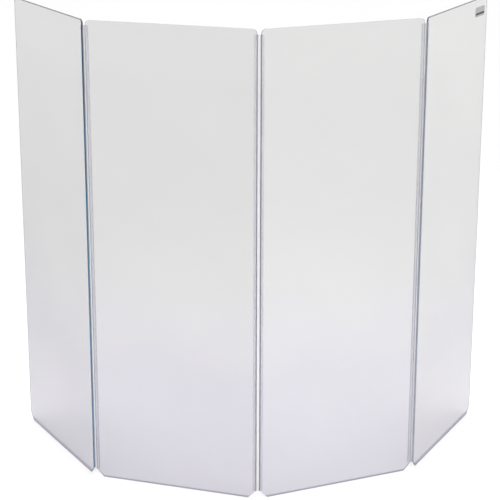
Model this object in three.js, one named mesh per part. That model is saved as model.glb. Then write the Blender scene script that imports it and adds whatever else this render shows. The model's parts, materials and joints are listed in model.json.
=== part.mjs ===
// Folding drum shield: four clear acrylic panels joined by three full-length flexible hinges.
// Units are millimetres and +Z is up. The convex side faces -Y and the player's side faces +Y.
// The origin is on the floor, at the middle of the shield's footprint.

import * as THREE from "three";

// Panels: one size of sheet, cut square to its width and height
const panelWidth = 609.6;
const panelHeight = 1676.4;
const panelThickness = 6.35;
const topCornerRadius = 16;
const bottomCornerCut = 28;

// Hinge strip: a rigid U-channel on each panel edge and a flexible web between them
const channelWall = 1.2;
const channelLip = 10;
const channelClearance = 0.3;
const webThickness = 1.2;
const webPitch = 10;
const webClearance = 0.3;
const hingeTopMargin = 3;
const hingeBottomMargin = 0.5;

// Label: a thin blank sticker near the free top corner of the right outer panel
const labelWidth = 96;
const labelHeight = 34;
const labelThickness = 0.3;
const labelCornerRadius = 4;
const labelGap = 0.3;
const labelSideMargin = 31;
const labelTopMargin = 32;

// Rest angles in degrees, seen from above: how far each hinge is folded towards the player
const leftFoldAngle = 42.4;
const centreFoldAngle = 41.9;
const rightFoldAngle = 38.9;
const leftInnerAngle = -18;

// Steps along each round stretch of an outline
const cornerSteps = 8;
const sectionSteps = 4;

// Where the hinge strip starts and ends, and where its two bending lines lie beside a panel
const hingeBottom = bottomCornerCut + hingeBottomMargin;
const hingeTop = panelHeight - topCornerRadius - hingeTopMargin;
const hingeLength = hingeTop - hingeBottom;
const edgeToAxis = channelClearance + channelWall + webClearance + webThickness / 2;
const centreToAxis = panelWidth / 2 + edgeToAxis;

// Colours, roughness and metalness of the four finishes
const finishes = {
  acrylic: { color: 0xdfe2e4, roughness: 0.06, metalness: 0, transparent: true, opacity: 0.35 },
  channel: { color: 0xcfcdd8, roughness: 0.18, metalness: 0, transparent: true, opacity: 0.6 },
  web: { color: 0xe4e4e2, roughness: 0.3, metalness: 0, transparent: true, opacity: 0.6 },
  label: { color: 0xb9bbbe, roughness: 0.45, metalness: 0 },
};

// A named mesh with a finish of its own
function piece(name, geometry, finish) {
  const mesh = new THREE.Mesh(geometry, new THREE.MeshStandardMaterial(finish));
  mesh.name = name;
  return mesh;
}

// An upright plate: the outline is drawn in X and Z, and the thickness is centred on Y
function uprightPlate(outline, thickness, curveSegments) {
  const options = { depth: thickness, bevelEnabled: false, curveSegments };
  const geometry = new THREE.ExtrudeGeometry(outline, options);
  geometry.rotateX(Math.PI / 2);
  geometry.translate(0, thickness / 2, 0);
  return geometry;
}

// A strip as long as the hinge: the section is drawn in X and Y, seen from above
function hingeStrip(section) {
  const options = { depth: hingeLength, bevelEnabled: false, curveSegments: sectionSteps };
  const geometry = new THREE.ExtrudeGeometry(section, options);
  geometry.translate(0, 0, hingeBottom);
  return geometry;
}

// One panel: round top corners, and bottom corners cut at 45 degrees as ways through for cables
function panelOutline() {
  const side = panelWidth / 2;
  const shoulder = panelHeight - topCornerRadius;
  const outline = new THREE.Shape();
  outline.moveTo(bottomCornerCut - side, 0);
  outline.lineTo(side - bottomCornerCut, 0);
  outline.lineTo(side, bottomCornerCut);
  outline.lineTo(side, shoulder);
  outline.absarc(side - topCornerRadius, shoulder, topCornerRadius, 0, Math.PI / 2);
  outline.absarc(topCornerRadius - side, shoulder, topCornerRadius, Math.PI / 2, Math.PI);
  outline.lineTo(-side, bottomCornerCut);
  outline.closePath();
  return outline;
}

// The U-channel's section round a right-hand panel edge, with the edge at x = 0 and round lip ends
function channelSection() {
  const slotHalf = panelThickness / 2 + channelClearance;
  const outerHalf = slotHalf + channelWall;
  const back = channelClearance + channelWall;
  const tipRadius = channelWall / 2;
  const tipCentre = slotHalf + tipRadius;
  const tipX = tipRadius - channelLip;
  const section = new THREE.Shape();
  section.moveTo(back - channelWall, -outerHalf);
  section.absarc(back - channelWall, channelWall - outerHalf, channelWall, -Math.PI / 2, 0);
  section.absarc(back - channelWall, outerHalf - channelWall, channelWall, 0, Math.PI / 2);
  section.absarc(tipX, tipCentre, tipRadius, Math.PI / 2, (3 * Math.PI) / 2);
  section.lineTo(channelClearance, slotHalf);
  section.lineTo(channelClearance, -slotHalf);
  section.absarc(tipX, -tipCentre, tipRadius, Math.PI / 2, (3 * Math.PI) / 2);
  section.closePath();
  return section;
}

// The web's section: flat between the two bending lines, with an end rounded about each
function webSection() {
  const radius = webThickness / 2;
  const reach = webPitch / 2;
  const section = new THREE.Shape();
  section.moveTo(-reach, -radius);
  section.absarc(reach, 0, radius, -Math.PI / 2, Math.PI / 2);
  section.absarc(-reach, 0, radius, Math.PI / 2, (3 * Math.PI) / 2);
  section.closePath();
  return section;
}

// A rectangle with round corners, centred on its own middle
function labelOutline() {
  const right = labelWidth / 2 - labelCornerRadius;
  const top = labelHeight / 2 - labelCornerRadius;
  const outline = new THREE.Shape();
  outline.absarc(right, -top, labelCornerRadius, -Math.PI / 2, 0);
  outline.absarc(right, top, labelCornerRadius, 0, Math.PI / 2);
  outline.absarc(-right, top, labelCornerRadius, Math.PI / 2, Math.PI);
  outline.absarc(-right, -top, labelCornerRadius, Math.PI, (3 * Math.PI) / 2);
  outline.closePath();
  return outline;
}

// A panel with the channels on its edges, in a group centred on the panel
function panelGroup(panelName, channelNames) {
  const group = new THREE.Group();
  const plate = uprightPlate(panelOutline(), panelThickness, cornerSteps);
  group.add(piece(panelName, plate, finishes.acrylic));
  for (const [side, channelName] of channelNames) {
    const channel = piece(channelName, hingeStrip(channelSection()), finishes.channel);
    channel.rotation.z = side > 0 ? 0 : Math.PI;
    channel.position.x = (side * panelWidth) / 2;
    group.add(channel);
  }
  return group;
}

// Joins the next panel to one side of a panel: side is 1 for the right-hand edge and -1 for the left.
// The web turns by half of the fold about its first bending line, and the panel by the other half.
function joinPanels(from, side, webName, foldAngle, next) {
  const halfFold = (side * THREE.MathUtils.degToRad(foldAngle)) / 2;
  const firstLine = new THREE.Group();
  firstLine.position.x = side * centreToAxis;
  firstLine.rotation.z = halfFold;
  const web = piece(webName, hingeStrip(webSection()), finishes.web);
  web.position.x = (side * webPitch) / 2;
  firstLine.add(web);
  const secondLine = new THREE.Group();
  secondLine.position.x = side * webPitch;
  secondLine.rotation.z = halfFold;
  next.position.x = side * centreToAxis;
  secondLine.add(next);
  firstLine.add(secondLine);
  from.add(firstLine);
}

// The sticker on the front face, inside the free top corner of the right outer panel
function label() {
  const plate = uprightPlate(labelOutline(), labelThickness, sectionSteps);
  const sticker = piece("blank_label", plate, finishes.label);
  sticker.position.x = panelWidth / 2 - labelSideMargin - labelWidth / 2;
  sticker.position.y = -panelThickness / 2 - labelGap - labelThickness / 2;
  sticker.position.z = panelHeight - labelTopMargin - labelHeight / 2;
  return sticker;
}

const leftOuter = panelGroup("left_outer_panel", [[1, "left_hinge_outer_channel"]]);
const leftInner = panelGroup("left_inner_panel", [
  [-1, "left_hinge_inner_channel"],
  [1, "centre_hinge_left_channel"],
]);
const rightInner = panelGroup("right_inner_panel", [
  [-1, "centre_hinge_right_channel"],
  [1, "right_hinge_inner_channel"],
]);
const rightOuter = panelGroup("right_outer_panel", [[-1, "right_hinge_outer_channel"]]);
rightOuter.add(label());

joinPanels(leftInner, -1, "left_hinge_web", leftFoldAngle, leftOuter);
joinPanels(leftInner, 1, "centre_hinge_web", centreFoldAngle, rightInner);
joinPanels(rightInner, 1, "right_hinge_web", rightFoldAngle, rightOuter);
leftInner.rotation.z = THREE.MathUtils.degToRad(leftInnerAngle);

// The whole shield stands with the middle of its footprint at the origin
const shield = new THREE.Group();
shield.add(leftInner);
const footprint = new THREE.Box3().setFromObject(shield, true);
const middle = footprint.getCenter(new THREE.Vector3());
leftInner.position.set(-middle.x, -middle.y, 0);

export default shield;
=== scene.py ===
"""Drum shield: four clear acrylic panels joined by three hinge strips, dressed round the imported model.

Every length is in metres and +Z is up. The convex side faces -Y and the player's side faces +Y.
"""

import json
import logging
import math
from collections.abc import Callable, Iterable
from dataclasses import dataclass
from enum import Enum

import bmesh
import bpy
from mathutils import Matrix, Vector


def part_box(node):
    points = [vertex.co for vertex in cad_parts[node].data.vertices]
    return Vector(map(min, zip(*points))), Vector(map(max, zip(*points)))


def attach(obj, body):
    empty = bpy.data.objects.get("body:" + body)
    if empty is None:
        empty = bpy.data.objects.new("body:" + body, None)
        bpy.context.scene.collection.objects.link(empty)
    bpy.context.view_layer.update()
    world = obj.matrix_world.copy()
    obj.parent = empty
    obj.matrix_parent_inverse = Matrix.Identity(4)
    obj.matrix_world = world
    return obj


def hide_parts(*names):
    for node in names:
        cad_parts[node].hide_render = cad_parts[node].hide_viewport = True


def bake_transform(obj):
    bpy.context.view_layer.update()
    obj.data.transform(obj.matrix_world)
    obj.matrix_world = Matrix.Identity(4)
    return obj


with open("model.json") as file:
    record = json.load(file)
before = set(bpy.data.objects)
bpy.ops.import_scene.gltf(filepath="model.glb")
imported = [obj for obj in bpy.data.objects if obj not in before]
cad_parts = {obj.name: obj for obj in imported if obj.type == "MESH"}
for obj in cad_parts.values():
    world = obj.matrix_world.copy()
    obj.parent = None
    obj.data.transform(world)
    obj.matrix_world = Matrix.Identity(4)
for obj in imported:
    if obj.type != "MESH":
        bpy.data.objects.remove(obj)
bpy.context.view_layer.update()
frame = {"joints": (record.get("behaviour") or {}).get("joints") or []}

log = logging.getLogger("drum_shield")

Colour = tuple[float, float, float]
Span = tuple[float, float]
Socket = bpy.types.NodeSocket

MM = 0.001
PANEL_HEIGHT = 1676.4 * MM
UNIT: Span = (0.0, 1.0)

# Corners closer than this become one, and edges of more than this many degrees stay sharp
MERGE_DISTANCE = 1e-6
SHARP_ANGLE = 35

# How far along an axis a face's normal points when the face counts as looking that way
FACING = 0.5

# The Mix node's colour sockets, which share their names with its number sockets
MIX_SHARE = 0
MIX_BASE = 6
MIX_OVER = 7
MIX_RESULT = 2


class Side(Enum):
    """Left or right, as the listeners see it."""

    LEFT = -1
    RIGHT = 1


class EdgeTone(Enum):
    """How the light that runs along a panel leaves its hinged edge."""

    PLAIN = "plain"
    NAVY = "navy"
    STEEL = "steel"


class SheetZone(Enum):
    """Where on a panel a face lies, numbered as the panel's materials are."""

    FACE = 0
    RIM = 1
    DARK_RIM = 2
    FOOT_RIM = 3


class LabelZone(Enum):
    """Where on the label a face lies, numbered as the label's materials are."""

    FILM = 0
    BORDER = 1
    STRIPE = 2


# Making materials

@dataclass(frozen=True)
class Grain:
    """A soft noise pattern, with its depth and strength for where it stands out from the surface.

    Scale is how many units of the pattern a metre holds. Stretch is the same on each axis by itself.
    """

    detail: float
    scale: float = 1.0
    stretch: tuple[float, float, float] | None = None
    depth: float = 0.0
    strength: float = 0.0


def opaque(colour: Colour) -> tuple[float, float, float, float]:
    """The colour as a socket takes it, with full alpha."""
    return (*colour, 1.0)


class Recipe:
    """A node material being put together round one Principled shader."""

    def __init__(self, name: str) -> None:
        """Starts an empty recipe.

        Args:
            name: The material's name.
        """
        self.material = bpy.data.materials.new(name)
        self.material.use_nodes = True
        self.tree = self.material.node_tree
        self.shader = self.tree.nodes["Principled BSDF"]
        coordinates = self.tree.nodes.new("ShaderNodeTexCoord")
        self.place = coordinates.outputs["Object"]
        self.along = coordinates.outputs["UV"]

    def set(self, **values: float) -> None:
        """Sets plain values on the shader's own sockets, by their names with an underscore for each space."""
        for name, value in values.items():
            self.shader.inputs[name.replace("_", " ")].default_value = value

    def feed(self, name: str, value: Socket) -> None:
        """Links a value to one of the shader's sockets, named name."""
        self.tree.links.new(value, self.shader.inputs[name])

    def node(self, kind: str, inputs: dict[str | int, object], **settings: object) -> bpy.types.Node:
        """Adds a node, and links or sets its inputs.

        Args:
            kind: The node's type, without the ShaderNode in front.
            inputs: A socket to link or a value to set, by input name or number.
            **settings: The node's own settings.

        Returns:
            The new node.
        """
        made = self.tree.nodes.new("ShaderNode" + kind)
        for name, value in settings.items():
            setattr(made, name, value)
        for name, value in inputs.items():
            if isinstance(value, Socket):
                self.tree.links.new(value, made.inputs[name])
            else:
                made.inputs[name].default_value = value
        return made

    def noise(self, source: Socket, grain: Grain) -> Socket:
        """Lays a pattern on a coordinate.

        Args:
            source: The coordinate.
            grain: The pattern.

        Returns:
            The noise, from 0 to 1.
        """
        if grain.stretch is not None:
            source = self.node("Mapping", {"Vector": source, "Scale": grain.stretch}).outputs["Vector"]
        inputs = {"Vector": source, "Scale": grain.scale, "Detail": grain.detail}
        return self.node("TexNoise", inputs).outputs["Fac"]

    def spread(self, value: Socket, given: Span, wanted: Span = UNIT) -> Socket:
        """Maps a value from one range to another.

        Args:
            value: The value.
            given: Where its range starts and ends.
            wanted: What the start and the end become.

        Returns:
            The mapped value.
        """
        inputs = {"Value": value, "From Min": given[0], "From Max": given[1]}
        inputs |= {"To Min": wanted[0], "To Max": wanted[1]}
        return self.node("MapRange", inputs).outputs["Result"]

    def shifted(self, height: Socket, pattern: Socket, reach: float) -> Socket:
        """Moves a height up and down by a pattern.

        Args:
            height: The height.
            pattern: The pattern, from 0 to 1.
            reach: How far the height is moved at most.

        Returns:
            The moved height.
        """
        inputs = {0: height, 1: self.spread(pattern, UNIT, (-reach, reach))}
        return self.node("Math", inputs, operation="ADD").outputs["Value"]

    def colours(self, value: Socket, stops: dict[float, Colour]) -> Socket:
        """Turns a value into a colour.

        Args:
            value: The value, from 0 to 1.
            stops: A linear colour by its place from 0 to 1, in order.

        Returns:
            The colour.
        """
        made = self.node("ValToRGB", {"Fac": value})
        ramp = made.color_ramp
        places = list(stops)
        ramp.elements[0].position, ramp.elements[1].position = places[0], places[-1]
        for place in places[1:-1]:
            ramp.elements.new(place)
        for element in ramp.elements:
            nearest = min(places, key=lambda place: abs(place - element.position))
            element.color = opaque(stops[nearest])
        return made.outputs["Color"]

    def tinted(self, base: Socket, share: Socket, tint: Colour) -> Socket:
        """Lays a plain colour over another.

        Args:
            base: The colour underneath.
            share: How much of the plain colour is laid over it, from 0 to 1.
            tint: The plain colour.

        Returns:
            The mixed colour.
        """
        inputs = {MIX_SHARE: share, MIX_BASE: base, MIX_OVER: opaque(tint)}
        return self.node("Mix", inputs, data_type="RGBA").outputs[MIX_RESULT]

    def bump(self, layers: Iterable[tuple[Socket, Grain]]) -> None:
        """Stacks bump layers under the shader's normal.

        Args:
            layers: For each layer its height, and the grain that gives its depth and strength.
        """
        below: Socket | None = None
        for height, grain in layers:
            inputs = {"Height": height, "Distance": grain.depth, "Strength": grain.strength}
            if below is not None:
                inputs["Normal"] = below
            below = self.node("Bump", inputs).outputs["Normal"]
        self.feed("Normal", below)


# Finishes

@dataclass(frozen=True)
class ClearAcrylic:
    """The faces of a cast acrylic panel: casting waves, hairline scratches and painted shade at the foot.

    The four tints run from the top of the panel down to its foot, and the shares say where the middle
    and low ones lie, from 0 at the foot to 1 at the tint height. The tints are painted shade of what lies
    behind the clear sheet, darkest in the low part. The painted shade at the foot stands in for the contact
    shadow and the bottom edge seen through the sheet, and a thin line of painted shade runs along the top.
    """

    name: str
    tint: Colour
    middle_tint: Colour
    low_tint: Colour
    foot_tint: Colour
    middle_share: float = 0.5
    low_share: float = 0.27
    tint_height: float = 1.6
    cloud: Grain = Grain(detail=4.0, scale=2.2)
    cloud_reach: float = 0.25
    # Painted shade along the foot, for the contact shadow and the bottom edge seen through the sheet
    contact_shade_height: float = 6 * MM
    contact_shade_blur: float = 1 * MM
    contact_shade_tint: Colour = (0.46, 0.44, 0.52)
    contact_shade_wobble: Grain = Grain(detail=3.0, scale=160.0)
    contact_shade_wobble_reach: float = 1.2 * MM
    # A thin line of painted shade along the top edge
    top_shade_height: float = 1 * MM
    top_shade_blur: float = 0.4 * MM
    top_shade_tint: Colour = (0.5, 0.5, 0.52)
    clearness: float = 1.0
    roughness: float = 0.02
    ior: float = 1.49
    waves: Grain = Grain(detail=1.0, scale=5.0, depth=0.6 * MM, strength=0.25)
    scratches: Grain = Grain(detail=2.0, stretch=(900.0, 14.0, 1.0), depth=0.02 * MM, strength=0.3)
    scratch_range: Span = (0.70, 0.78)

    def make(self) -> bpy.types.Material:
        """Builds the finish.

        Returns:
            Its node material.
        """
        recipe = Recipe(self.name)
        recipe.set(Roughness=self.roughness, IOR=self.ior, Transmission_Weight=self.clearness)
        height = recipe.node("SeparateXYZ", {"Vector": recipe.along}).outputs["Y"]
        shaded_by_height = self.shaded_by_height(recipe, height)
        # Painted shade along the foot, with a ragged top
        wobbly_height = recipe.shifted(height, recipe.noise(recipe.along, self.contact_shade_wobble), self.contact_shade_wobble_reach)
        contact_shade_span = (self.contact_shade_height - self.contact_shade_blur, self.contact_shade_height + self.contact_shade_blur)
        contact_shaded = recipe.tinted(shaded_by_height, recipe.spread(wobbly_height, contact_shade_span, (1.0, 0.0)), self.contact_shade_tint)
        # A thin line of painted shade along the top edge
        top_shade_foot = PANEL_HEIGHT - self.top_shade_height
        top_shade = recipe.spread(height, (top_shade_foot, top_shade_foot + self.top_shade_blur))
        recipe.feed("Base Color", recipe.tinted(contact_shaded, top_shade, self.top_shade_tint))
        waves = recipe.noise(recipe.along, self.waves)
        hairlines = recipe.spread(recipe.noise(recipe.along, self.scratches), self.scratch_range)
        recipe.bump([(waves, self.waves), (hairlines, self.scratches)])
        return recipe.material

    def shaded_by_height(self, recipe: Recipe, height: Socket) -> Socket:
        """Runs the four tints of painted shade up the panel, with soft clouds in where they change.

        Args:
            recipe: The material being put together.
            height: How high a spot lies on the panel.

        Returns:
            The colour of the panel before the painted shade at its foot and along its top.
        """
        cloudy_height = recipe.shifted(height, recipe.noise(recipe.along, self.cloud), self.cloud_reach)
        share = recipe.spread(cloudy_height, (0.0, self.tint_height))
        stops = {
            0.0: self.foot_tint,
            self.low_share: self.low_tint,
            self.middle_share: self.middle_tint,
            1.0: self.tint,
        }
        return recipe.colours(share, stops)


@dataclass(frozen=True)
class OuterAcrylic(ClearAcrylic):
    """An outer panel's faces, with taller painted shade at the foot and a darker painted line along the top.
    """

    contact_shade_height: float = 14 * MM
    contact_shade_tint: Colour = (0.36, 0.34, 0.42)
    top_shade_height: float = 3 * MM
    top_shade_tint: Colour = (0.12, 0.14, 0.18)


@dataclass(frozen=True)
class PolishedRim:
    """The edges of a panel and some channel backs, darkened because the light runs away along the sheet."""

    name: str
    top: Colour
    middle: Colour
    bottom: Colour
    middle_share: float = 0.5
    tint_height: float = 1.676
    cloud: Grain = Grain(detail=3.0, scale=9.0)
    cloud_reach: float = 0.12
    clearness: float = 0.5
    roughness: float = 0.12
    ior: float = 1.49
    marks: Grain = Grain(detail=2.0, stretch=(300.0, 300.0, 2500.0), depth=0.03 * MM, strength=0.4)

    def make(self) -> bpy.types.Material:
        """Builds the finish.

        Returns:
            Its node material.
        """
        recipe = Recipe(self.name)
        recipe.set(Roughness=self.roughness, IOR=self.ior, Transmission_Weight=self.clearness)
        height = recipe.node("SeparateXYZ", {"Vector": recipe.place}).outputs["Z"]
        cloudy_height = recipe.shifted(height, recipe.noise(recipe.place, self.cloud), self.cloud_reach)
        share = recipe.spread(cloudy_height, (0.0, self.tint_height))
        stops = {0.0: self.bottom, self.middle_share: self.middle, 1.0: self.top}
        recipe.feed("Base Color", recipe.colours(share, stops))
        recipe.bump([(recipe.noise(recipe.place, self.marks), self.marks)])
        return recipe.material


@dataclass(frozen=True)
class RigidVinyl:
    """The clear hard vinyl of the channels, with fine lines drawn along it by the die."""

    name: str = "rigid_vinyl"
    light: Colour = (0.95, 0.95, 0.97)
    dark: Colour = (0.89, 0.88, 0.93)
    light_from: float = 0.7
    dark_until: float = 0.3
    cloud: Grain = Grain(detail=4.0, stretch=(40.0, 3.0, 1.0))
    clearness: float = 0.9
    roughness: float = 0.08
    ior: float = 1.53
    lines: Grain = Grain(detail=2.0, stretch=(2600.0, 1.5, 1.0), depth=0.05 * MM, strength=0.35)
    ripples: Grain = Grain(detail=2.0, stretch=(60.0, 18.0, 1.0), depth=0.3 * MM, strength=0.15)

    def make(self) -> bpy.types.Material:
        """Builds the finish.

        Returns:
            Its node material.
        """
        recipe = Recipe(self.name)
        recipe.set(Roughness=self.roughness, IOR=self.ior, Transmission_Weight=self.clearness)
        cloud = recipe.noise(recipe.along, self.cloud)
        stops = {self.dark_until: self.dark, self.light_from: self.light}
        recipe.feed("Base Color", recipe.colours(cloud, stops))
        lines = recipe.noise(recipe.along, self.lines)
        ripples = recipe.noise(recipe.along, self.ripples)
        recipe.bump([(lines, self.lines), (ripples, self.ripples)])
        return recipe.material


@dataclass(frozen=True)
class SoftVinyl:
    """The soft milky vinyl of the webs, slightly hazed where it bends."""

    name: str = "soft_vinyl"
    light: Colour = (0.91, 0.92, 0.90)
    dark: Colour = (0.84, 0.84, 0.85)
    light_from: float = 0.7
    dark_until: float = 0.3
    cloud: Grain = Grain(detail=4.0, stretch=(200.0, 6.0, 1.0))
    clearness: float = 0.8
    roughness: float = 0.2
    ior: float = 1.5
    lines: Grain = Grain(detail=2.0, stretch=(3200.0, 2.0, 1.0), depth=0.06 * MM, strength=0.4)
    dimples: Grain = Grain(detail=2.0, scale=260.0, depth=0.08 * MM, strength=0.2)

    def make(self) -> bpy.types.Material:
        """Builds the finish.

        Returns:
            Its node material.
        """
        recipe = Recipe(self.name)
        recipe.set(Roughness=self.roughness, IOR=self.ior, Transmission_Weight=self.clearness)
        cloud = recipe.noise(recipe.along, self.cloud)
        stops = {self.dark_until: self.dark, self.light_from: self.light}
        recipe.feed("Base Color", recipe.colours(cloud, stops))
        lines = recipe.noise(recipe.along, self.lines)
        dimples = recipe.noise(recipe.place, self.dimples)
        recipe.bump([(lines, self.lines), (dimples, self.dimples)])
        return recipe.material


@dataclass(frozen=True)
class LabelFilm:
    """Satin film of the blank sticker, with a fine metallic grain."""

    name: str = "label_film"
    light: Colour = (0.42, 0.42, 0.43)
    dark: Colour = (0.34, 0.34, 0.35)
    roughness: float = 0.38
    metallic: float = 0.25
    light_from: float = 0.65
    dark_until: float = 0.35
    grain: Grain = Grain(detail=2.0, scale=1800.0, depth=0.01 * MM, strength=0.4)
    cockle: Grain = Grain(detail=2.0, scale=90.0, depth=0.1 * MM, strength=0.25)

    def make(self) -> bpy.types.Material:
        """Builds the finish.

        Returns:
            Its node material.
        """
        recipe = Recipe(self.name)
        recipe.set(Roughness=self.roughness, Metallic=self.metallic)
        grain = recipe.noise(recipe.place, self.grain)
        stops = {self.dark_until: self.dark, self.light_from: self.light}
        recipe.feed("Base Color", recipe.colours(grain, stops))
        cockle = recipe.noise(recipe.place, self.cockle)
        recipe.bump([(grain, self.grain), (cockle, self.cockle)])
        return recipe.material


@dataclass(frozen=True)
class PaleFloor:
    """A plain matt studio floor."""

    name: str = "pale_floor"
    tint: Colour = (0.93, 0.93, 0.93)
    shade: float = 0.985
    light_from: float = 0.7
    dark_until: float = 0.3
    roughness: float = 0.9
    gloss: float = 0.1
    cloud: Grain = Grain(detail=3.0, scale=0.6)

    def make(self) -> bpy.types.Material:
        """Builds the finish.

        Returns:
            Its node material.
        """
        recipe = Recipe(self.name)
        recipe.set(Roughness=self.roughness, Specular_IOR_Level=self.gloss)
        cloud = recipe.noise(recipe.place, self.cloud)
        dark = tuple(self.shade * part for part in self.tint)
        stops = {self.dark_until: dark, self.light_from: self.tint}
        recipe.feed("Base Color", recipe.colours(cloud, stops))
        return recipe.material


class Finishes:
    """Every finish of the shield, made once."""

    def __init__(self) -> None:
        """Makes the finishes of the panels, the hinge strips and the label."""
        # Each sheet has its own tints of painted shade, darker low down, though the real sheets are alike
        self.faces: dict[str, bpy.types.Material] = {
            "left_outer": OuterAcrylic(
                name="clear_acrylic_left_outer",
                tint=(0.70, 0.70, 0.70), middle_tint=(0.592, 0.59, 0.596),
                low_tint=(0.52, 0.508, 0.55), foot_tint=(0.565, 0.552, 0.60)).make(),
            "left_inner": ClearAcrylic(
                name="clear_acrylic_left_inner",
                tint=(0.735, 0.735, 0.735), middle_tint=(0.667, 0.665, 0.667),
                low_tint=(0.615, 0.602, 0.652), foot_tint=(0.665, 0.65, 0.702)).make(),
            "right_inner": ClearAcrylic(
                name="clear_acrylic_right_inner",
                tint=(0.765, 0.765, 0.762), middle_tint=(0.71, 0.709, 0.71),
                low_tint=(0.655, 0.642, 0.692), foot_tint=(0.705, 0.69, 0.743)).make(),
            "right_outer": OuterAcrylic(
                name="clear_acrylic_right_outer",
                tint=(0.765, 0.765, 0.76), middle_tint=(0.67, 0.67, 0.67),
                low_tint=(0.59, 0.58, 0.617), foot_tint=(0.615, 0.60, 0.645)).make(),
        }
        self.rim = PolishedRim(
            name="polished_rim", top=(0.45, 0.45, 0.52), middle=(0.45, 0.44, 0.54),
            bottom=(0.45, 0.43, 0.53)).make()
        self.dark_rim = PolishedRim(
            name="dark_rim", top=(0.03, 0.05, 0.09), middle=(0.10, 0.15, 0.20),
            bottom=(0.20, 0.24, 0.32), clearness=0.2).make()
        self.foot_rim = PolishedRim(
            name="foot_rim", top=(0.3, 0.29, 0.36), middle=(0.26, 0.25, 0.32),
            bottom=(0.19, 0.18, 0.24), clearness=0.2, roughness=0.3).make()
        self.channel = RigidVinyl().make()
        # The channel backs are painted with the light and shade that leave each panel's hinged edge under
        # them
        self.backs: dict[EdgeTone, bpy.types.Material] = {
            EdgeTone.PLAIN: RigidVinyl(
                name="channel_back", light=(0.56, 0.54, 0.72), dark=(0.47, 0.45, 0.62),
                clearness=0.8).make(),
            EdgeTone.NAVY: PolishedRim(
                name="channel_back_navy", top=(0.0, 0.04, 0.13), middle=(0.07, 0.22, 0.35),
                bottom=(0.14, 0.25, 0.45), clearness=0.15).make(),
            EdgeTone.STEEL: PolishedRim(
                name="channel_back_steel", top=(0.50, 0.54, 0.64), middle=(0.62, 0.67, 0.84),
                bottom=(0.80, 0.83, 0.96), clearness=0.65).make(),
        }
        self.web = SoftVinyl().make()
        self.label = LabelFilm().make()
        self.label_border = LabelFilm(
            name="label_border", light=(0.20, 0.20, 0.21), dark=(0.15, 0.15, 0.16)).make()
        self.label_stripe = LabelFilm(
            name="label_stripe", light=(0.006, 0.006, 0.007), dark=(0.002, 0.002, 0.003),
            roughness=0.5).make()


# Making pieces

def lay_uv(bm: bmesh.types.BMesh, across: Callable[[Vector], float], up: Callable[[Vector], float]) -> None:
    """Lays a UV map in metres over a mesh that still stands at the origin.

    Args:
        bm: The mesh.
        across: What a corner's place gives for U.
        up: What a corner's place gives for V.
    """
    layer = bm.loops.layers.uv.new("UVMap")
    for face in bm.faces:
        for loop in face.loops:
            loop[layer].uv = (across(loop.vert.co), up(loop.vert.co))


def finished(bm: bmesh.types.BMesh, name: str, place: Matrix, materials: list[bpy.types.Material],
             flat_above: float = math.inf) -> bpy.types.Object:
    """Turns a mesh into a piece, with its place in its mesh and its object at the origin.

    Args:
        bm: The mesh, which is freed.
        name: The piece's name.
        place: Where the piece stands.
        materials: The piece's materials, in the order of its face numbers.
        flat_above: The area above which a face is shaded flat, so that round edges don't bend its shading.

    Returns:
        The piece.
    """
    bmesh.ops.remove_doubles(bm, verts=bm.verts[:], dist=MERGE_DISTANCE)
    bmesh.ops.recalc_face_normals(bm, faces=bm.faces[:])
    bmesh.ops.transform(bm, matrix=place, verts=bm.verts[:])
    mesh = bpy.data.meshes.new(name)
    bm.to_mesh(mesh)
    bm.free()
    for material in materials:
        mesh.materials.append(material)
    mesh.shade_smooth()
    mesh.set_sharp_from_angle(angle=math.radians(SHARP_ANGLE))
    for polygon in mesh.polygons:
        polygon.use_smooth = polygon.area < flat_above
    piece = bpy.data.objects.new(name, mesh)
    bpy.context.scene.collection.objects.link(piece)
    return piece


def upright_plate(width: float, height: float) -> bmesh.types.BMesh:
    """A single upright face, centred on X with its foot at zero height.

    Args:
        width: Its length along X.
        height: Its length along Z.

    Returns:
        The mesh.
    """
    bm = bmesh.new()
    # A grid of size 0.5 is one metre wide
    bmesh.ops.create_grid(bm, x_segments=1, y_segments=1, size=0.5)
    bmesh.ops.scale(bm, vec=(width, height, 1), verts=bm.verts[:])
    bmesh.ops.rotate(bm, cent=(0, 0, 0), matrix=Matrix.Rotation(math.pi / 2, 3, "X"), verts=bm.verts[:])
    bmesh.ops.translate(bm, vec=(0, 0, height / 2), verts=bm.verts[:])
    return bm


def round_corners(bm: bmesh.types.BMesh, wanted: Callable[[Vector], bool], radius: float, steps: int) -> None:
    """Rounds, or with one step cuts, some corners of a flat face.

    Args:
        bm: The mesh.
        wanted: True for the place of a corner that is to be rounded.
        radius: How far along each edge the corner is taken back.
        steps: How many edges the new corner has.
    """
    corners = [vert for vert in bm.verts if wanted(vert.co)]
    bmesh.ops.bevel(bm, geom=corners, offset=radius, offset_type="OFFSET", segments=steps,
                    profile=0.5, affect="VERTICES", material=-1)


def thicken(bm: bmesh.types.BMesh, way: Vector) -> None:
    """Pulls a flat face out to a closed body.

    Args:
        bm: The mesh.
        way: How far, and in which direction.
    """
    pulled = bmesh.ops.extrude_face_region(bm, geom=bm.faces[:])["geom"]
    bmesh.ops.translate(bm, vec=way, verts=[part for part in pulled if isinstance(part, bmesh.types.BMVert)])
    bmesh.ops.recalc_face_normals(bm, faces=bm.faces[:])


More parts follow.
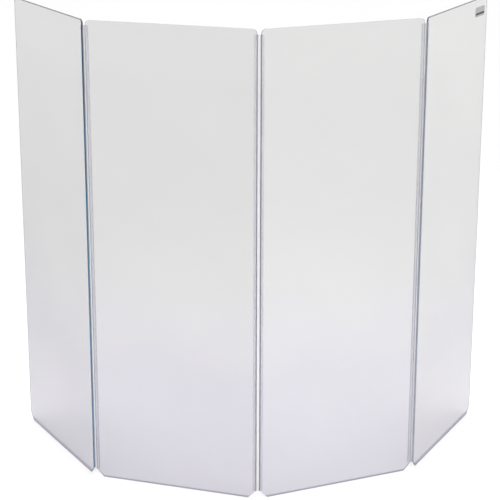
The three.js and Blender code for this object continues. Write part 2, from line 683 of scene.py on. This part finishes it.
@dataclass
class AcrylicPanel:
    """One sheet of clear acrylic with eased, polished edges and cut bottom corners.

    The squareness values say how nearly a face's normal lies along an axis when the face counts as
    one of the two faces of the sheet, or as its top edge.
    """

    node: str
    body: str
    tone: EdgeTone
    width: float = 609.6 * MM
    height: float = PANEL_HEIGHT
    thickness: float = 6.35 * MM
    top_radius: float = 16 * MM
    top_steps: int = 10
    bottom_cut: float = 28 * MM
    ease: float = 0.5 * MM
    ease_steps: int = 2
    face_squareness: float = 0.99
    top_squareness: float = 0.2
    flat_area: float = 1e-4

    def place(self) -> Matrix:
        """Reads where the panel stands, and how far it is turned about Z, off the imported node's box.

        Returns:
            The matrix that takes a panel centred on the origin to its place.
        """
        low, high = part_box(self.node)
        long_side, short_side = high.x - low.x, high.y - low.y
        cosine = self.width * long_side - self.thickness * short_side
        sine = self.width * short_side - self.thickness * long_side
        middle = (low + high) / 2
        heading = math.copysign(math.atan2(sine, cosine), middle.x)
        return Matrix.Translation((middle.x, middle.y, 0)) @ Matrix.Rotation(heading, 4, "Z")

    def build(self) -> bmesh.types.BMesh:
        """Shapes the sheet, centred on the origin with its foot at zero height.

        Returns:
            Its mesh.
        """
        bm = upright_plate(self.width, self.height)
        round_corners(bm, lambda at: at.z > self.height / 2, self.top_radius, self.top_steps)
        round_corners(bm, lambda at: at.z < self.height / 4, self.bottom_cut, 1)
        bmesh.ops.translate(bm, vec=(0, -self.thickness / 2, 0), verts=bm.verts[:])
        thicken(bm, Vector((0, self.thickness, 0)))
        outline = [edge for edge in bm.edges if abs(edge.verts[0].co.y - edge.verts[1].co.y) < self.ease]
        bmesh.ops.bevel(bm, geom=outline, offset=self.ease, offset_type="OFFSET", segments=self.ease_steps,
                        profile=0.5, affect="EDGES", material=-1, clamp_overlap=True)
        return bm

    def zone(self, face: bmesh.types.BMFace) -> SheetZone:
        """Finds where on the panel a face lies.

        Args:
            face: The face, on the mesh that still stands at the origin.

        Returns:
            Its zone.
        """
        if abs(face.normal.y) > self.face_squareness:
            return SheetZone.FACE
        if face.calc_center_median().z < self.bottom_cut:
            return SheetZone.FOOT_RIM
        if self.tone is not EdgeTone.PLAIN and face.normal.z > self.top_squareness:
            return SheetZone.DARK_RIM
        if self.tone is EdgeTone.NAVY and face.normal.x > FACING:
            return SheetZone.DARK_RIM
        return SheetZone.RIM

    def dress(self, bm: bmesh.types.BMesh, finishes: Finishes) -> bpy.types.Object:
        """Gives faces and rim their finishes and puts the panel in its place.

        Args:
            bm: The panel's mesh.
            finishes: The shield's finishes.

        Returns:
            The finished panel.
        """
        bm.normal_update()
        for face in bm.faces:
            face.material_index = self.zone(face).value
        lay_uv(bm, lambda at: at.x + at.y, lambda at: at.z)
        materials = [finishes.faces[self.body], finishes.rim, finishes.dark_rim, finishes.foot_rim]
        piece = finished(bm, self.node + "_sheet", self.place(), materials, self.flat_area)
        # A clear sheet hardly shades what stands behind it
        piece.visible_shadow = False
        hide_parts(self.node)
        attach(piece, self.body)
        return piece

    def make(self, finishes: Finishes) -> bpy.types.Object:
        """Builds and dresses the panel."""
        return self.dress(self.build(), finishes)


@dataclass
class HingeChannel:
    """A rigid U-channel pushed over one upright edge of a panel.

    Tip_round and slot_round are radii as shares of the wall.
    """

    node: str
    panel: AcrylicPanel
    side: Side
    foot: float
    length: float
    wall: float = 1.2 * MM
    lip: float = 10 * MM
    clearance: float = 0.3 * MM
    lean: float = 0.22 * MM
    tip_round: float = 0.45
    slot_round: float = 0.25
    back_steps: int = 5
    tip_steps: int = 3
    slot_steps: int = 2

    def build(self) -> bmesh.types.BMesh:
        """Shapes the channel round a right-hand panel edge at the origin.

        Returns:
            Its mesh.
        """
        slot = self.panel.thickness / 2 + self.clearance
        outside = slot + self.wall
        back = self.clearance + self.wall
        half_wall = self.wall / 2
        around = [
            (-self.lip, self.lean - outside), (back, -outside),
            (back, outside), (-self.lip, outside - self.lean),
            (-self.lip, slot - self.lean), (self.clearance, slot),
            (self.clearance, -slot), (-self.lip, self.lean - slot),
        ]
        bm = bmesh.new()
        bm.faces.new([bm.verts.new((x, y, self.foot)) for x, y in around])
        round_corners(bm, lambda at: at.x > back - half_wall, self.wall, self.back_steps)
        round_corners(bm, lambda at: at.x < self.wall - self.lip, self.tip_round * self.wall, self.tip_steps)
        round_corners(
            bm, lambda at: abs(at.x - self.clearance) < half_wall and abs(at.y) < outside - half_wall,
            self.slot_round * self.wall, self.slot_steps)
        thicken(bm, Vector((0, 0, self.length)))
        return bm

    def dress(self, bm: bmesh.types.BMesh, finishes: Finishes) -> bpy.types.Object:
        """Gives the channel its finish, with another on its back, and puts it on its edge.

        Args:
            bm: The channel's mesh.
            finishes: The shield's finishes.

        Returns:
            The finished channel.
        """
        for face in bm.faces:
            on_back = face.calc_center_median().x > self.clearance / 2
            face.material_index = int(on_back and abs(face.normal.z) < FACING)
        lay_uv(bm, lambda at: at.x + at.y, lambda at: at.z)
        turn = Matrix.Rotation(0 if self.side is Side.RIGHT else math.pi, 4, "Z")
        edge = Matrix.Translation((self.side.value * self.panel.width / 2, 0, 0))
        materials = [finishes.channel, finishes.backs[self.panel.tone]]
        flat_area = self.wall * self.length
        piece = finished(bm, self.node + "_strip", self.panel.place() @ edge @ turn, materials, flat_area)
        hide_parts(self.node)
        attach(piece, self.panel.body)
        return piece

    def make(self, finishes: Finishes) -> bpy.types.Object:
        """Builds and dresses the channel."""
        return self.dress(self.build(), finishes)


@dataclass
class HingeWeb:
    """The soft web between two channels: an arc that leaves each channel squarely, made as two halves.

    It thickens towards its roots, from flare_start on as a share of each half.
    """

    node: str
    body: str
    left_body: str
    right_body: str
    left_line: Vector
    right_line: Vector
    fold: float
    foot: float
    length: float
    thickness: float = 1.0 * MM
    root_thickness: float = 1.9 * MM
    root_reach: float = 1.1 * MM
    flare_start: float = 0.6
    overlap: float = 0.1 * MM
    steps: int = 12

    def heading(self) -> float:
        """How far the web is turned about Z."""
        across = self.right_line - self.left_line
        return math.atan2(across.y, across.x)

    def place(self) -> Matrix:
        """Where the middle of the web stands."""
        middle = (self.left_line + self.right_line) / 2
        return Matrix.Translation((middle.x, middle.y, 0)) @ Matrix.Rotation(self.heading(), 4, "Z")

    def arc(self) -> tuple[float, float]:
        """Works out the arc that meets both channels squarely.

        Returns:
            How far the arc's centre lies behind the web's middle line, and its radius.
        """
        half_pitch = (self.right_line - self.left_line).length / 2
        half_fold = self.fold / 2
        tangent = half_pitch / math.cos(half_fold) + self.root_reach
        centre = tangent / math.sin(half_fold) - half_pitch * math.tan(half_fold)
        return centre, tangent / math.tan(half_fold)

    def build(self, half: Side) -> bmesh.types.BMesh:
        """Spins one half of the web about the arc's centre.

        Args:
            half: Which half.

        Returns:
            Its mesh.
        """
        centre, radius = self.arc()
        bm = upright_plate(self.thickness, self.length)
        bmesh.ops.rotate(bm, cent=(0, 0, 0), matrix=Matrix.Rotation(math.pi / 2, 3, "Z"), verts=bm.verts[:])
        bmesh.ops.translate(bm, vec=(0, centre - radius, self.foot), verts=bm.verts[:])
        bmesh.ops.spin(bm, geom=bm.verts[:] + bm.edges[:] + bm.faces[:], cent=(0, centre, 0), axis=(0, 0, 1),
                       angle=half.value * self.fold / 2, steps=self.steps, use_merge=False)
        for vert in bm.verts:
            spoke = Vector((vert.co.x, vert.co.y - centre))
            share = math.atan2(abs(spoke.x), -spoke.y) / (self.fold / 2)
            flare = max(0.0, (share - self.flare_start) / (1 - self.flare_start)) ** 2
            stretch = 1 + flare * (self.root_thickness / self.thickness - 1)
            spoke *= (radius + (spoke.length - radius) * stretch) / spoke.length
            vert.co.x, vert.co.y = spoke.x, spoke.y + centre
        return bm

    def dress(self, bm: bmesh.types.BMesh, half: Side, finishes: Finishes) -> bpy.types.Object:
        """Gives half of the web its finish and puts it in its place.

        Args:
            bm: The half's mesh.
            half: Which half.
            finishes: The shield's finishes.

        Returns:
            The finished half.
        """
        lay_uv(bm, lambda at: at.x, lambda at: at.z)
        piece = finished(bm, f"{self.node}_{half.name.lower()}_half", self.place(), [finishes.web])
        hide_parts(self.node)
        centre, radius = self.arc()
        turn = self.fold / 2
        root = Vector((half.value * radius * math.sin(turn), centre - radius * math.cos(turn), 0))
        middle = Vector((half.value * self.overlap, centre - radius, 0))
        self.place() @ root
        self.place() @ middle
        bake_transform(piece)
        return piece

    def make(self, finishes: Finishes) -> list[bpy.types.Object]:
        """Builds and dresses both halves."""
        return [self.dress(self.build(half), half, finishes) for half in Side]


@dataclass
class BlankLabel:
    """A plain sticker with a dark stripe and border, on the front face near the free top corner.

    The lip is the narrow slope round its front, and the stripe starts at stripe_drop below its top.
    """

    node: str
    panel: AcrylicPanel
    width: float = 96 * MM
    height: float = 34 * MM
    thickness: float = 0.25 * MM
    gap: float = 0.05 * MM
    radius: float = 4 * MM
    corner_steps: int = 6
    lip: float = 0.4 * MM
    lip_depth: float = 0.05 * MM
    border: float = 1.2 * MM
    stripe: float = 7 * MM
    stripe_drop: float = 20.5 * MM
    side_margin: float = 31 * MM
    top_margin: float = 32 * MM
    front_squareness: float = 0.9
    flat_area: float = 2e-5

    def build(self) -> bmesh.types.BMesh:
        """Shapes the sticker with its border and its stripe, and its foot at zero height.

        Returns:
            Its mesh.
        """
        bm = upright_plate(self.width, self.height)
        round_corners(bm, lambda at: True, self.radius, self.corner_steps)
        thicken(bm, Vector((0, self.thickness, 0)))
        film = self.plain_front(bm)
        bmesh.ops.inset_region(bm, faces=film, thickness=self.lip, depth=self.lip_depth, use_even_offset=True)
        ring = bmesh.ops.inset_region(bm, faces=film, thickness=self.border, use_even_offset=True)["faces"]
        for face in ring:
            face.material_index = LabelZone.BORDER.value
        stripe_top = self.height - self.stripe_drop
        stripe_foot = stripe_top - self.stripe
        self.cut_across(bm, film, stripe_top)
        self.cut_across(bm, self.plain_front(bm), stripe_foot)
        for face in self.plain_front(bm):
            if stripe_foot < face.calc_center_median().z < stripe_top:
                face.material_index = LabelZone.STRIPE.value
        return bm

    def plain_front(self, bm: bmesh.types.BMesh) -> list[bmesh.types.BMFace]:
        """The faces on the sticker's front that are still plain film."""
        film = [face for face in bm.faces if face.material_index == LabelZone.FILM.value]
        return [face for face in film if face.normal.y < -self.front_squareness]

    def cut_across(self, bm: bmesh.types.BMesh, faces: list[bmesh.types.BMFace], up: float) -> None:
        """Cuts faces of the sticker along a level line, at a height of up."""
        parts = {part for face in faces for part in (face, *face.edges, *face.verts)}
        bmesh.ops.bisect_plane(bm, geom=list(parts), plane_co=(0, 0, up), plane_no=(0, 0, 1))

    def dress(self, bm: bmesh.types.BMesh, finishes: Finishes) -> bpy.types.Object:
        """Gives the sticker its film and puts it on the panel.

        Args:
            bm: The sticker's mesh.
            finishes: The shield's finishes.

        Returns:
            The finished sticker.
        """
        along = self.panel.width / 2 - self.side_margin - self.width / 2
        out = -self.panel.thickness / 2 - self.gap - self.thickness
        up = self.panel.height - self.top_margin - self.height
        place = self.panel.place() @ Matrix.Translation((along, out, up))
        materials = [finishes.label, finishes.label_border, finishes.label_stripe]
        piece = finished(bm, self.node + "_film", place, materials, self.flat_area)
        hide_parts(self.node)
        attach(piece, self.panel.body)
        return piece

    def make(self, finishes: Finishes) -> bpy.types.Object:
        """Builds and dresses the sticker."""
        return self.dress(self.build(), finishes)


@dataclass
class DrumShield:
    """The whole folding shield, with its folds in degrees."""

    hinge_foot: float = 28.5 * MM
    hinge_length: float = 1628.9 * MM
    left_fold: float = 42.4
    centre_fold: float = 41.9
    right_fold: float = 38.9

    def panels(self) -> dict[str, AcrylicPanel]:
        """Lists the four panels.

        Returns:
            The panels by their bodies' names.
        """
        tones = {
            "left_outer": EdgeTone.NAVY,
            "left_inner": EdgeTone.PLAIN,
            "right_inner": EdgeTone.PLAIN,
            "right_outer": EdgeTone.STEEL,
        }
        return {body: AcrylicPanel(f"{body}_panel", body, tone) for body, tone in tones.items()}

    def channels(self, panels: dict[str, AcrylicPanel]) -> list[HingeChannel]:
        """Lists the six channels, on the panels' hinged edges.

        Args:
            panels: The panels by their bodies' names.

        Returns:
            The channels.
        """
        rows = (
            ("left_hinge_outer_channel", "left_outer", Side.RIGHT),
            ("left_hinge_inner_channel", "left_inner", Side.LEFT),
            ("centre_hinge_left_channel", "left_inner", Side.RIGHT),
            ("centre_hinge_right_channel", "right_inner", Side.LEFT),
            ("right_hinge_inner_channel", "right_inner", Side.RIGHT),
            ("right_hinge_outer_channel", "right_outer", Side.LEFT),
        )
        return [
            HingeChannel(node, panels[body], side, self.hinge_foot, self.hinge_length)
            for node, body, side in rows
        ]

    def webs(self) -> list[HingeWeb]:
        """Lists the three webs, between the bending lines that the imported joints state.

        Returns:
            The webs.
        """
        lines = {joint["name"]: Vector(joint["pos_m"]) for joint in frame["joints"]}
        rows = (
            ("left", "left_outer", "left_inner", "outer", "inner", self.left_fold),
            ("centre", "left_inner", "right_inner", "left", "right", self.centre_fold),
            ("right", "right_inner", "right_outer", "inner", "outer", self.right_fold),
        )
        return [
            HingeWeb(
                node=f"{hinge}_hinge_web", body=f"{hinge}_web", left_body=left_body, right_body=right_body,
                left_line=lines[f"{hinge}_hinge_{left_end}_bend"],
                right_line=lines[f"{hinge}_hinge_{right_end}_bend"],
                fold=math.radians(fold), foot=self.hinge_foot, length=self.hinge_length)
            for hinge, left_body, right_body, left_end, right_end, fold in rows
        ]

    def make(self, finishes: Finishes) -> list[bpy.types.Object]:
        """Builds and dresses every piece in order.

        Args:
            finishes: The shield's finishes.

        Returns:
            The pieces.
        """
        panels = self.panels()
        pieces = [panel.make(finishes) for panel in panels.values()]
        pieces += [channel.make(finishes) for channel in self.channels(panels)]
        for web in self.webs():
            pieces += web.make(finishes)
        pieces.append(BlankLabel("blank_label", panels["right_outer"]).make(finishes))
        return pieces


# The studio

@dataclass(frozen=True)
class Softbox:
    """A square area light."""

    name: str
    at: tuple[float, float, float]
    towards: tuple[float, float, float]
    size: float
    watts: float

    def make(self) -> bpy.types.Object:
        """Hangs the light.

        Returns:
            The light.
        """
        lamp = bpy.data.lights.new(self.name, "AREA")
        lamp.shape, lamp.size, lamp.energy = "SQUARE", self.size, self.watts
        light = bpy.data.objects.new(self.name, lamp)
        light.visible_camera = False
        light.location = self.at
        light.rotation_euler = (Vector(self.towards) - Vector(self.at)).to_track_quat("-Z", "Y").to_euler()
        bpy.context.scene.collection.objects.link(light)
        return light


@dataclass
class Studio:
    """Plain pale floor, soft light and the photograph's camera.

    Pitch and roll are in degrees, and lens and sensor in millimetres.
    """

    floor_size: float = 120.0
    floor_drop: float = 0.2 * MM
    sky: Colour = (0.98, 0.98, 0.98)
    sky_strength: float = 1.1
    softboxes: tuple[Softbox, ...] = (
        Softbox("key_softbox", at=(-3.5, -4.0, 4.2), towards=(0.0, 0.0, 0.8), size=2.4, watts=14.0),
        Softbox("fill_softbox", at=(4.0, -3.0, 3.4), towards=(0.0, 0.0, 0.8), size=2.0, watts=10.0),
        Softbox("overhead_softbox", at=(0.0, -0.1, 3.0), towards=(0.0, -0.1, 0.0), size=1.6, watts=32.0),
    )
    camera_at: tuple[float, float, float] = (-0.0063, -5.5831, 2.5070)
    pitch: float = 16.978
    roll: float = 0.124
    lens: float = 115.0
    sensor: float = 36.0
    clip: Span = (0.05, 400.0)

    def floor(self) -> bpy.types.Object:
        """Lays the floor, which reaches far behind the shield.

        Returns:
            The floor.
        """
        bm = bmesh.new()
        bmesh.ops.create_grid(bm, x_segments=2, y_segments=2, size=self.floor_size / 2)
        place = Matrix.Translation((0, self.floor_size / 4, -self.floor_drop))
        floor = finished(bm, "studio_floor", place, [PaleFloor().make()])
        return floor

    def light(self) -> None:
        """Sets a bright even sky and the softboxes."""
        world = bpy.data.worlds.new("studio_sky")
        world.use_nodes = True
        background = world.node_tree.nodes["Background"]
        background.inputs["Color"].default_value = opaque(self.sky)
        background.inputs["Strength"].default_value = self.sky_strength
        bpy.context.scene.world = world
        for softbox in self.softboxes:
            softbox.make()

    def camera(self) -> bpy.types.Object:
        """Sets up the photograph's camera.

        Returns:
            The camera.
        """
        settings = bpy.data.cameras.new("photo_camera")
        settings.sensor_width, settings.lens = self.sensor, self.lens
        settings.clip_start, settings.clip_end = self.clip
        pitch, roll = math.radians(self.pitch), math.radians(self.roll)
        ahead = Vector((0, math.cos(pitch), -math.sin(pitch)))
        up = Vector((0, math.sin(pitch), math.cos(pitch)))
        right = Vector((math.cos(roll), 0, 0)) + math.sin(roll) * up
        turned_up = right.cross(ahead)
        camera = bpy.data.objects.new("photo_camera", settings)
        turn = Matrix((right, turned_up, -ahead)).transposed().to_4x4()
        camera.matrix_world = Matrix.Translation(self.camera_at) @ turn
        bpy.context.scene.collection.objects.link(camera)
        bpy.context.scene.camera = camera
        return camera

    def make(self) -> None:
        """Sets the whole studio up."""
        self.floor()
        self.light()
        self.camera()
        bpy.context.scene.view_settings.view_transform = "Standard"


def main() -> None:
    """Builds the shield and the studio."""
    logging.basicConfig(level=logging.INFO, format="%(message)s")
    for piece in DrumShield().make(Finishes()):
        log.info("%s: %d faces", piece.name, len(piece.data.polygons))
    Studio().make()


if __name__ == "__main__":
    main()
